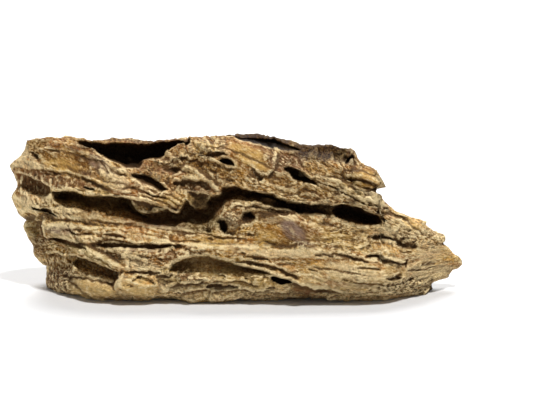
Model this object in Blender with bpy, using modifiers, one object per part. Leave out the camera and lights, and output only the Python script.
"""A dragon stone: one weathered piece of layered clay stone for an aquascape.

The stone is laid out on a face that leans back by LEAN from the vertical, the way the
stone shows itself from the front. Face coordinates are x, along the stone, and v, up the
leaning face. Lengths in the lists are millimetres, and mm() makes them metres.
The skin is a flat grid that is rolled round the stone: its first half covers the front
from the foot up to the crest, and its second half comes down the back.
"""

import math

import bmesh
import bpy
import numpy as np

# Driving dimensions
LEAN = math.radians(10)
FOOT_Y = -0.036
ALONG_CELLS = 260
ROUND_CELLS = 236
VOXEL = 0.0009
THINNING = 0.043
LEFT_ROUNDING = 0.016
RIGHT_ROUNDING = 0.007
RIM_ROUNDNESS = 2.5
FRONT_ROUNDNESS = 2.4
BACK_ROUNDNESS = 2.9
RELIEF_ROOM = 0.016
RIM_BEDS = 0.4
BACK_FULLNESS = 0.35
WELD = 1e-6
MIDDLE = np.array((-0.0002, -0.0077, 0.0))

STONE_COLOUR = (0.46, 0.34, 0.19, 1.0)
STONE_ROUGHNESS = 0.9


def mm(*pairs):
    """Pairs of millimetres as two arrays of metres."""
    return np.array(pairs, float).T / 1000


# Outline of the face, as seen from the front: height of the crest and of the foot along
# x, and how far the two ends reach at each height.
CREST = mm(
    (-92, 70), (-88, 71.2), (-79, 71.5), (-70, 70.2), (-60, 68.6), (-50, 67.6), (-40, 68),
    (-30, 69.4), (-20, 70.8), (-12, 72), (12, 72), (18, 71.3), (24, 69.8), (29, 67.8),
    (34, 66.9), (40, 67.7), (46, 66.2), (51, 66), (53.5, 63), (56, 60), (60, 58.5),
    (63, 54.5), (65, 49), (67, 44), (69.5, 40), (72.5, 37), (76.6, 36),
    (81, 35.2), (84.5, 31.7), (88.4, 28.2), (91.5, 26.8), (92.6, 23), (95.5, 19.8),
)
FOOT = mm(
    (-84, 5), (-81, 4), (-75, 2.6), (-70, 2.4), (-65, 0.6), (-60, 0), (66, 0), (70, 0.9),
    (79, 1.8), (83, 2.8), (84.5, 4.4), (86.2, 6.6), (90, 8.4), (93.3, 9.7), (95.5, 12.9),
)
LEFT_END = mm(
    (5, -83.7), (10, -84), (16.3, -83.6), (18.3, -87), (20, -89.5), (25, -90.5),
    (29.5, -93), (32, -94), (34.3, -93.4), (35.9, -91.3), (38, -95), (40, -97),
    (45, -99), (47.5, -98.5), (50, -97), (53, -97), (55.5, -98.5), (59, -100),
    (61, -98.5), (63.5, -95), (66, -93.5), (70, -92),
)
RIGHT_END = mm(
    (12.9, 95.5), (14.1, 97.7), (15.4, 99.7), (17.2, 99), (19.4, 96.4), (19.8, 95.5),
)

# Plan of the stone: where the foot and the crest run, and how far the face and the back
# swell out from the sheet between them.
FOOT_PLAN = mm((-84, -6), (-75, -18), (-65, -29), (-50, -34), (-30, -36), (20, -36),
               (60, -33), (70, -28), (83, -20), (95, -8))
CREST_PLAN = mm((-92, 2), (-80, 0), (-70, 4), (-50, 13), (-30, 14), (-10, 8), (10, 12),
                (30, 14), (50, 10), (60, 4), (70, -2), (80, -6), (95, -8))
FRONT_SWELL = mm((-100, 8), (-90, 14), (-75, 20), (-50, 26), (0, 27), (40, 25), (65, 21),
                 (80, 15), (95, 5))
BACK_SWELL = mm((-100, 10), (-90, 18), (-75, 26), (-50, 32), (-10, 34), (30, 32), (60, 25),
                (80, 16), (95, 6))

# Slots: how deep, the share of the slot's height that the floor takes to sink, the upper
# lip and the lower edge. The two lines meet at both ends.
FRONT_SLOTS = {
    "crest_hollow": (
        0.024, 0.10,
        mm((-69, 69.3), (-60, 68), (-50, 66.8), (-40, 67.2), (-30, 68.6), (-21, 69.6)),
        mm((-69, 69.3), (-66, 66.5), (-62, 65.5), (-58, 63), (-55, 61), (-50, 58.5),
           (-47, 56.5), (-42, 56.2), (-40.5, 60), (-38, 62.5), (-30, 65), (-27, 66.7),
           (-21, 69.6)),
    ),
    "left_pocket": (
        0.008, 0.35,
        mm((-99, 56), (-95, 56), (-90, 54.5), (-85, 52), (-81, 50), (-80, 47)),
        mm((-99, 56), (-96, 49), (-92, 46), (-88, 45), (-82, 44.6), (-80, 47)),
    ),
    "long_slit": (
        0.018, 0.30,
        mm((-80, 47.5), (-76, 47.5), (-70, 47.5), (-66, 46), (-60, 44.3), (-55, 45),
           (-50, 44.6), (-46, 43), (-44, 39.5), (-42, 38), (-38, 37.5), (-34, 38.3),
           (-30, 39.8), (-27, 39), (-25, 38.8), (-23.5, 41), (-22.4, 44), (-21.5, 47),
           (-17, 46.5), (-10, 45.5), (-7.2, 46), (-6.2, 49), (0, 50), (6, 48.5),
           (14, 47.7), (17, 47), (18, 45.5), (23, 42.5), (26, 41.3), (29, 41.2)),
        mm((-80, 47.5), (-79, 43.3), (-73, 40.5), (-71.5, 39.5), (-64, 38), (-58, 37),
           (-52, 36), (-46, 35.3), (-40, 35), (-30, 34), (-25, 32.5), (-20, 31.3),
           (-12, 31), (-8, 30.5), (-5.6, 30.5), (-4.8, 38), (-2.6, 39.5), (-1.5, 41.5),
           (5, 42), (10, 41.3), (18, 39.8), (25, 39.8), (29, 41.2)),
    ),
    "shelf_slit": (
        0.010, 0.35,
        mm((26, 41), (31, 41.8), (35, 42), (40, 41.5), (44, 41.4)),
        mm((26, 41), (29, 38), (33, 36.8), (38, 36.6), (41, 36.2), (44, 41.4)),
    ),
    "eye_hole": (
        0.020, 0.14,
        mm((41.5, 38), (43, 41), (46, 41.5), (50, 40.5), (54, 39.5), (57, 38.4),
           (60, 38), (62, 37), (65.3, 34.8)),
        mm((41.5, 38), (43, 36.2), (45, 35), (48, 33.3), (52, 32.3), (58, 32),
           (62, 32.6), (65.3, 34.8)),
    ),
    "wedge_groove": (
        0.007, 0.40,
        mm((-47, 55.2), (-40, 55.4), (-37, 54.5), (-33, 51.7), (-29, 48.8)),
        mm((-47, 55.2), (-43, 52), (-40, 50.6), (-36, 49.5), (-32, 47.6), (-29, 48.8)),
    ),
    "bead_hole": (
        0.006, 0.25,
        mm((-8.3, 59.8), (-6.5, 60.9), (-4, 60.9), (-2, 60), (-0.4, 57.6)),
        mm((-8.3, 59.8), (-5, 58), (-3, 57.6), (-0.4, 57.6)),
    ),
    "almond_hole": (
        0.012, 0.20,
        mm((20, 57.2), (23, 57.2), (27, 56.1), (31, 54.9), (34, 52.6), (36.2, 49.8)),
        mm((20, 57.2), (22.5, 55), (24, 53), (27, 51.5), (31, 51), (33, 51.6),
           (36.2, 49.8)),
    ),
    "cheek_slot": (
        0.005, 0.35,
        mm((-91, 41.2), (-87, 40.6), (-84, 40.2), (-81, 39.6), (-78.3, 36.4)),
        mm((-91, 41.2), (-87, 39.2), (-85, 38), (-82, 37), (-78.3, 36.4)),
    ),
    "rib_slot": (
        0.004, 0.40,
        mm((-62, 24.6), (-57, 25.2), (-52, 25.4), (-42, 24.8), (-35, 25), (-25, 24.2)),
        mm((-62, 24.6), (-57, 22.8), (-52, 22.8), (-45, 23.4), (-38, 22), (-33, 22.6),
           (-25, 24.2)),
    ),
    "lower_pocket": (
        0.017, 0.22,
        mm((-86, 21), (-80, 20.6), (-76, 19.4), (-70, 19.6), (-64, 19), (-60, 17.5),
           (-55, 15.3), (-52, 14), (-50.8, 11.5)),
        mm((-86, 21), (-84, 18), (-78, 12.5), (-72, 11.5), (-64, 11), (-60, 10.3),
           (-56, 9), (-53, 8.2), (-50.8, 11.5)),
    ),
    "belly_hollow": (
        0.013, 0.40,
        mm((-29, 12.4), (-28, 15.3), (-27, 17), (-22, 19), (-18, 20.2), (-14, 20),
           (-10, 18.8), (-5, 17.2), (-1, 16), (4, 15.4), (12, 13.5), (17, 11.5)),
        mm((-29, 12.4), (-26, 11), (-23, 10.3), (-14, 10.6), (-5, 10), (5, 10.5),
           (17, 11.5)),
    ),
    "toe_hole": (
        0.006, 0.30,
        mm((15.3, 10.2), (17, 10.6), (20, 9.5), (24, 8.9), (26, 8.2)),
        mm((15.3, 10.2), (17, 8), (20, 7.4), (24, 7.7), (26, 8.2)),
    ),
    "toe_slot": (
        0.003, 0.35,
        mm((-13.5, 6), (-11.5, 7.4), (-8, 7.3), (-3, 6.6), (2, 5)),
        mm((-13.5, 6), (-10.5, 4), (-5, 4.2), (2, 5)),
    ),
    "ochre_hollow": (
        0.004, 0.50,
        mm((45, 54), (50, 55.2), (54, 54), (58, 51.5), (62, 49)),
        mm((45, 54), (49, 51.2), (53, 49), (57, 46.5), (62, 49)),
    ),
}
BACK_SLOTS = {
    "back_long_slit": (
        0.013, 0.30,
        mm((-62, 36), (-54, 41), (-40, 44), (-24, 44), (-8, 41), (4, 42), (18, 39),
           (30, 34), (40, 31)),
        mm((-62, 36), (-50, 34), (-36, 36), (-20, 35), (-6, 35), (8, 33), (22, 31),
           (40, 31)),
    ),
    "back_eye_hole": (
        0.014, 0.20,
        mm((34, 45), (40, 49), (50, 50), (58, 47), (64, 41)),
        mm((34, 45), (42, 41), (52, 39), (64, 41)),
    ),
    "back_crest_hollow": (
        0.012, 0.30,
        mm((-78, 58), (-68, 63), (-52, 64), (-36, 62), (-26, 58)),
        mm((-78, 58), (-66, 55), (-50, 54), (-38, 54), (-26, 58)),
    ),
    "back_top_slot": (
        0.010, 0.30,
        mm((-10, 60), (0, 64), (14, 65), (28, 61), (38, 57)),
        mm((-10, 60), (4, 57), (18, 56), (38, 57)),
    ),
    "back_lower_pocket": (
        0.013, 0.30,
        mm((-44, 20), (-36, 26), (-22, 28), (-8, 25), (0, 20)),
        mm((-44, 20), (-34, 15), (-20, 14), (0, 20)),
    ),
    "back_toe_pocket": (
        0.009, 0.30,
        mm((22, 20), (30, 25), (42, 25), (54, 21), (62, 18)),
        mm((22, 20), (32, 15), (46, 14), (62, 18)),
    ),
    "back_cheek_slot": (
        0.008, 0.35,
        mm((-88, 44), (-80, 48), (-70, 48), (-62, 46)),
        mm((-88, 44), (-78, 41), (-70, 41), (-62, 46)),
    ),
    "back_bead_hole": (
        0.007, 0.30,
        mm((66, 30), (70, 34), (76, 33), (80, 29)),
        mm((66, 30), (72, 27), (80, 29)),
    ),
}

# Shelves: how far the lip stands out, how far up the shelf fades, and the lip's line.
FRONT_SHELVES = {
    "slab_lip": (0.0035, 0.012, mm((-90, 54), (-80, 49.5), (-70, 48), (-60, 45.5),
                                   (-48, 44), (-38, 42.5), (-28, 42), (-22, 43))),
    "slab_upper_step": (0.0015, 0.006, mm((-97, 57.5), (-84, 56), (-72, 55), (-62, 51.5),
                                          (-52, 48.5), (-40, 47.5))),
    "middle_flake": (0.0050, 0.007, mm((-30, 48), (-26, 46.6), (-21, 47.2), (-13, 46),
                                       (-7, 46.2))),
    "flake_cap": (0.0020, 0.004, mm((-28, 52.6), (-22, 52.2), (-15, 52.4), (-9, 51))),
    "upper_slab_lip": (0.0030, 0.012, mm((0, 50), (10, 48), (20, 45), (28, 42.5),
                                         (40, 42.5), (52, 41.5), (60, 39), (68, 36))),
    "scale_plate": (0.0020, 0.010, mm((-6, 62), (4, 59), (11, 55.5), (16.5, 54))),
    "long_rib": (0.0045, 0.009, mm((-86, 27), (-74, 26), (-62, 25.5), (-40, 25.2),
                                   (-20, 21.5), (-6, 18), (6, 16), (20, 12.5), (32, 8))),
    "lower_rib": (0.0030, 0.006, mm((-84, 22), (-72, 21), (-62, 18.5), (-52, 14.5),
                                    (-44, 12.6), (-34, 11.5))),
    "mound_lip": (0.0030, 0.008, mm((-2, 41.8), (8, 36), (20, 36), (28, 36), (42, 34))),
}
BACK_SHELVES = {
    "back_upper_lip": (0.0035, 0.012, mm((-84, 50), (-60, 52), (-30, 54), (0, 54),
                                         (30, 52), (50, 50))),
    "back_middle_lip": (0.0040, 0.012, mm((-70, 37), (-50, 42), (-20, 44), (10, 42),
                                          (36, 35), (60, 30), (84, 22))),
    "back_lower_lip": (0.0035, 0.010, mm((-80, 24), (-50, 24), (-20, 28), (10, 25),
                                         (40, 25), (70, 17))),
}

# Swellings: how far out, the middle and the two half-lengths, and how far the long way
# dips to the right, in degrees.
FRONT_SWELLINGS = {
    "tongue": (0.0030, mm((-48, 50)), mm((26, 7)), -16),
    "knob": (0.0055, mm((-2.6, 34.5)), mm((3.4, 4.4)), 0),
    "hanging_tab": (0.0070, mm((-15.5, 43.5)), mm((5, 3.6)), 0),
    "mound": (0.0035, mm((24, 30)), mm((16, 8)), -8),
    "left_toe": (0.0035, mm((-62, 4)), mm((13, 5)), -6),
    "middle_toe": (0.0040, mm((-43, 6)), mm((10, 7)), -4),
    "belly": (0.0045, mm((42, 14)), mm((46, 14)), -2),
    "crown": (0.0030, mm((-12, 66)), mm((12, 6)), -10),
    "far_shoulder": (-0.0060, mm((40, 65)), mm((16, 5)), -4),
    "low_lobe": (-0.0050, mm((-90.5, 30.5)), mm((6, 6)), 0),
}
BACK_SWELLINGS = {
    "back_boss": (0.0060, mm((-60, 30)), mm((26, 14)), 8),
    "back_rib": (0.0050, mm((-4, 48)), mm((44, 5)), 6),
    "back_heel": (0.0060, mm((10, 8)), mm((40, 9)), 0),
    "back_shoulder": (0.0050, mm((48, 34)), mm((22, 6)), 14),
    "back_waist": (-0.0060, mm((18, 28)), mm((30, 5)), 8),
}

# Beds: thin layers that fan out from the right end, level at the foot and steeper with
# height. Each set of beds has a spacing, how far its beds stand out, and a seed.
FAN_HEIGHT = 0.070
FAN_SLOPE = 0.30
BEDS = ((0.0095, 0.0040, 3), (0.0047, 0.0028, 17), (0.0025, 0.0014, 29))
WARPS = ((0.060, 0.50, 5), (0.017, 0.22, 11), (0.006, 0.10, 23))
RAGS = ((0.008, 0.0014, 61), (0.0035, 0.0007, 67))
LUMPS = ((0.034, 0.0026, 41), (0.014, 0.0012, 47))

# Pits: seeded small slots along the beds, as counts for the face and for the back.
PIT_SEED = 8
FRONT_PITS = 46
BACK_PITS = 60


def smooth(share):
    """0 below 0, 1 above 1, and an S-curve between."""
    share = np.clip(share, 0, 1)
    return share * share * (3 - 2 * share)


def height(line, x):
    """Straight runs through a line's points."""
    return np.interp(x, line[0], line[1])


def slots_depth(slots, x, v):
    """How deep the slots cut at (x, v): sharp under the upper lip, easy to the lower edge."""
    depth = np.zeros_like(x)
    for deepest, sinking, upper, lower in slots.values():
        top, bottom = height(upper, x), height(lower, x)
        gap = np.maximum(top - bottom, 1e-9)
        floor = smooth((v - bottom) / (sinking * gap))
        wall = smooth((top - v) / 0.0012)
        narrow = smooth(gap / 0.0035)
        depth = np.maximum(depth, deepest * floor * wall * narrow)
    return depth


def shelves_rise(shelves, x, v):
    """How far the shelves stand out: full at the lip, fading above it, gone just below."""
    rise = np.zeros_like(x)
    for out, reach, lip in shelves.values():
        above = v - height(lip, x)
        ends = smooth((x - lip[0][0]) / 0.006) * smooth((lip[0][-1] - x) / 0.006)
        edge = smooth((above + 0.0016) / 0.0016)
        rise += out * edge * np.exp(-((np.maximum(above, 0) / reach) ** 2)) * ends
    return rise


def swellings_rise(swellings, x, v):
    """Smooth oval swellings, or hollows where the rise is negative."""
    rise = np.zeros_like(x)
    for out, middle, half, dip in swellings.values():
        turn = math.radians(dip)
        across, up = x - middle[0], v - middle[1]
        long_way = (across * math.cos(turn) + up * math.sin(turn)) / half[0]
        short_way = (up * math.cos(turn) - across * math.sin(turn)) / half[1]
        rise += out * np.clip(1 - long_way**2 - short_way**2, 0, 1) ** 0.75
    return rise


def noise(x, y, z, seed):
    """Gradient noise in about -1..1: each corner of the unit cell round a point has a
    seeded direction, and the slopes along the eight directions are blended by S-curves."""
    directions = np.random.default_rng(seed).normal(size=(16, 16, 16, 3))
    place = np.stack((x, y, z), -1)
    base = np.floor(place).astype(int)
    offset = place - base
    share = smooth(offset)
    total = np.zeros(x.shape)
    for corner in np.ndindex(2, 2, 2):
        index = (base + corner) % 16
        slope = np.sum(directions[tuple(np.moveaxis(index, -1, 0))] * (offset - corner), -1)
        total += slope * np.prod(np.where(corner, share, 1 - share), -1)
    return total


def bed_height(x, z):
    """Height within the fan of beds: 0 at the ground, the same all along one bed."""
    return z * FAN_HEIGHT / (FAN_HEIGHT - FAN_SLOPE * x)


def beds_rise(x, y, z):
    """How far hard beds stand out and soft ones lie back. Going up, each bed starts with a
    sharp lip and eases off to the next one, and its hardness wanders along it."""
    stack = bed_height(x, z)
    wander = np.zeros_like(x)
    for size, share, seed in WARPS:
        wander += share * noise(x / size, y / size, stack / (0.4 * size), seed)
    rise = np.zeros_like(x)
    for spacing, out, seed in BEDS:
        level = stack / spacing + wander * BEDS[0][0] / spacing
        bed = np.floor(level)
        part = level - bed
        reach = 6 * spacing
        hardness = noise(x / reach, y / reach, 3.7 * bed + 0.5, seed)
        rise += out * 1.6 * hardness * smooth(part / 0.22) * smooth((1 - part) / 0.6)
    for size, out, seed in LUMPS:
        rise += out * noise(x / size, y / size, 2 * stack / size, seed)
    return rise


def pits_depth(count, x, v):
    """Seeded spindle-shaped pits that lie along the beds, sharp under their upper lip."""
    dice = np.random.default_rng(PIT_SEED + count)
    depth = np.zeros_like(x)
    for _ in range(count):
        middle_x, middle_v = dice.uniform(-0.09, 0.085), dice.uniform(0.004, 0.066)
        long_half, short_half = dice.uniform(0.003, 0.009), dice.uniform(0.0006, 0.0016)
        slope = -FAN_SLOPE * middle_v / FAN_HEIGHT
        along = (x - middle_x) / long_half
        spindle = short_half * np.clip(1 - along**2, 0, 1)
        up = v - middle_v - slope * (x - middle_x)
        floor = smooth((up + spindle) / np.maximum(spindle, 1e-6))
        wall = smooth((spindle - up) / 0.0008)
        depth = np.maximum(depth, 1.7 * short_half * floor * wall * (spindle > 0))
    return depth


def body(along, turn):
    """The stone without its relief, as points, the place on the face (x, v), whether the
    front is meant, and how much room there is for relief. along runs 0..1 from the left
    end to the right end, and turn 0..1 from the foot over the face to the crest and back
    down behind."""
    turn = turn % 1.0
    front = turn <= 0.5
    angle = np.where(front, turn * 2 - 0.5, 1.5 - turn * 2) * math.pi
    climb = np.sign(np.sin(angle)) * np.abs(np.sin(angle)) ** (2 / RIM_ROUNDNESS)
    share = (climb + 1) / 2
    roundness = np.where(front, FRONT_ROUNDNESS, BACK_ROUNDNESS)
    bulge = np.abs(np.cos(angle)) ** (2 / roundness)

    left = height(LEFT_END, LEFT_END[0][0] + share * np.ptp(LEFT_END[0]))
    right = height(RIGHT_END, RIGHT_END[0][0] + share * np.ptp(RIGHT_END[0]))
    x = left + (right - left) * along
    from_left = 1 - np.clip((x - left) / LEFT_ROUNDING, 0, 1)
    from_right = 1 - np.clip((right - x) / RIGHT_ROUNDING, 0, 1)
    ends = np.sqrt(1 - from_left**2) * np.sqrt(1 - from_right**2)
    rising = np.where(front, share, share ** (1 + BACK_FULLNESS * ends))
    v = height(FOOT, x) + (height(CREST, x) - height(FOOT, x)) * rising

    leaning = v / FAN_HEIGHT
    sheet = height(FOOT_PLAN, x) * (1 - leaning) + height(CREST_PLAN, x) * leaning
    swell = np.where(front, -height(FRONT_SWELL, x), height(BACK_SWELL, x))
    y = sheet + swell * bulge * ends
    return x, y, v, front, height(FRONT_SWELL, x) * ends, bulge


def lifted(x, y, v):
    """Points from a place on the face and its depth y: the view of them stays at (x, v)."""
    return np.stack((x, y, (v - (y - FOOT_Y) * math.sin(LEAN)) / math.cos(LEAN)), -1)


def outward(along, turn):
    """Unit vectors that point out of the body, from small steps along and round it."""
    step = 0.002
    before, after = np.clip(along - step, 0, 1), np.clip(along + step, 0, 1)
    run = lifted(*body(after, turn)[:3]) - lifted(*body(before, turn)[:3])
    climb = lifted(*body(along, turn + step)[:3]) - lifted(*body(along, turn - step)[:3])
    normal = np.cross(run, climb)
    return normal / np.maximum(np.linalg.norm(normal, axis=-1, keepdims=True), 1e-12)


def skin_points(along, turn):
    """Points of the stone's skin: the body with its relief, whose edges are ragged."""
    x, y, v, front, thickness, bulge = body(along, turn)
    room = smooth(thickness * bulge / RELIEF_ROOM)
    edge = v.copy()
    for size, reach, seed in RAGS:
        edge += reach * noise(x / size, v / (0.6 * size), front + 0.5, seed)
    relief = np.where(
        front,
        shelves_rise(FRONT_SHELVES, x, edge) + swellings_rise(FRONT_SWELLINGS, x, v),
        shelves_rise(BACK_SHELVES, x, edge) + swellings_rise(BACK_SWELLINGS, x, v),
    )
    relief -= np.where(
        front,
        slots_depth(FRONT_SLOTS, x, edge) + pits_depth(FRONT_PITS, x, v),
        slots_depth(BACK_SLOTS, x, edge) + pits_depth(BACK_PITS, x, v),
    )
    y = y + np.where(front, -1, 1) * relief * room
    points = lifted(x, y, v)
    plain = lifted(*body(along, turn)[:3])
    beds = beds_rise(*np.moveaxis(plain, -1, 0)) * smooth(thickness / RELIEF_ROOM)
    beds *= RIM_BEDS + (1 - RIM_BEDS) * bulge
    return points + outward(along, turn) * beds[..., None] - MIDDLE


def roll_skin():
    """The stone's closed skin: a flat grid primitive, rolled up by skin_points and welded."""
    sheet = bmesh.new()
    bmesh.ops.create_grid(sheet, x_segments=ALONG_CELLS, y_segments=ROUND_CELLS, size=1)
    mesh = bpy.data.meshes.new("dragon_stone")
    sheet.to_mesh(mesh)
    sheet.free()
    flat = np.empty(len(mesh.vertices) * 3, np.float32)
    mesh.vertices.foreach_get("co", flat)
    places = flat.reshape(-1, 3).astype(float)
    along = (1 - np.cos((places[:, 0] + 1) / 2 * math.pi)) / 2
    along = 0.45 * along + 0.55 * (places[:, 0] + 1) / 2
    turn = (places[:, 1] + 1) / 2
    mesh.vertices.foreach_set("co", skin_points(along, turn).astype(np.float32).ravel())

    rolled = bmesh.new()
    rolled.from_mesh(mesh)
    bmesh.ops.remove_doubles(rolled, verts=rolled.verts, dist=WELD)
    bmesh.ops.recalc_face_normals(rolled, faces=rolled.faces)
    rolled.to_mesh(mesh)
    rolled.free()
    return mesh


def stone_material():
    material = bpy.data.materials.new("weathered_clay_stone")
    material.use_nodes = True
    shader = material.node_tree.nodes["Principled BSDF"]
    shader.inputs["Base Color"].default_value = STONE_COLOUR
    shader.inputs["Roughness"].default_value = STONE_ROUGHNESS
    shader.inputs["Metallic"].default_value = 0.0
    return material


def ground_cutter(collection):
    """A block below the ground plane, which wears the stone's underside flat."""
    block = bpy.data.meshes.new("ground_cutter")
    cube = bmesh.new()
    bmesh.ops.create_cube(cube, size=0.3)
    bmesh.ops.translate(cube, verts=cube.verts, vec=(0, 0, -0.15))
    cube.to_mesh(block)
    cube.free()
    cutter = bpy.data.objects.new("ground_cutter", block)
    cutter.hide_render = True
    cutter.display_type = "WIRE"
    collection.objects.link(cutter)
    return cutter


def new_collection(name):
    collection = bpy.data.collections.new(name)
    bpy.context.scene.collection.children.link(collection)
    return collection


def build():
    for leftover in list(bpy.data.objects):
        bpy.data.objects.remove(leftover)
    parts = new_collection("dragon_stone")
    cutters = new_collection("cutters")

    stone = bpy.data.objects.new("dragon_stone", roll_skin())
    parts.objects.link(stone)
    stone.data.materials.append(stone_material())

    even = stone.modifiers.new("even_skin", "REMESH")
    even.mode = "VOXEL"
    even.voxel_size = VOXEL
    thin = stone.modifiers.new("thin_out", "DECIMATE")
    thin.ratio = THINNING
    level = stone.modifiers.new("worn_foot", "BOOLEAN")
    level.operation = "DIFFERENCE"
    level.object = ground_cutter(cutters)


build()
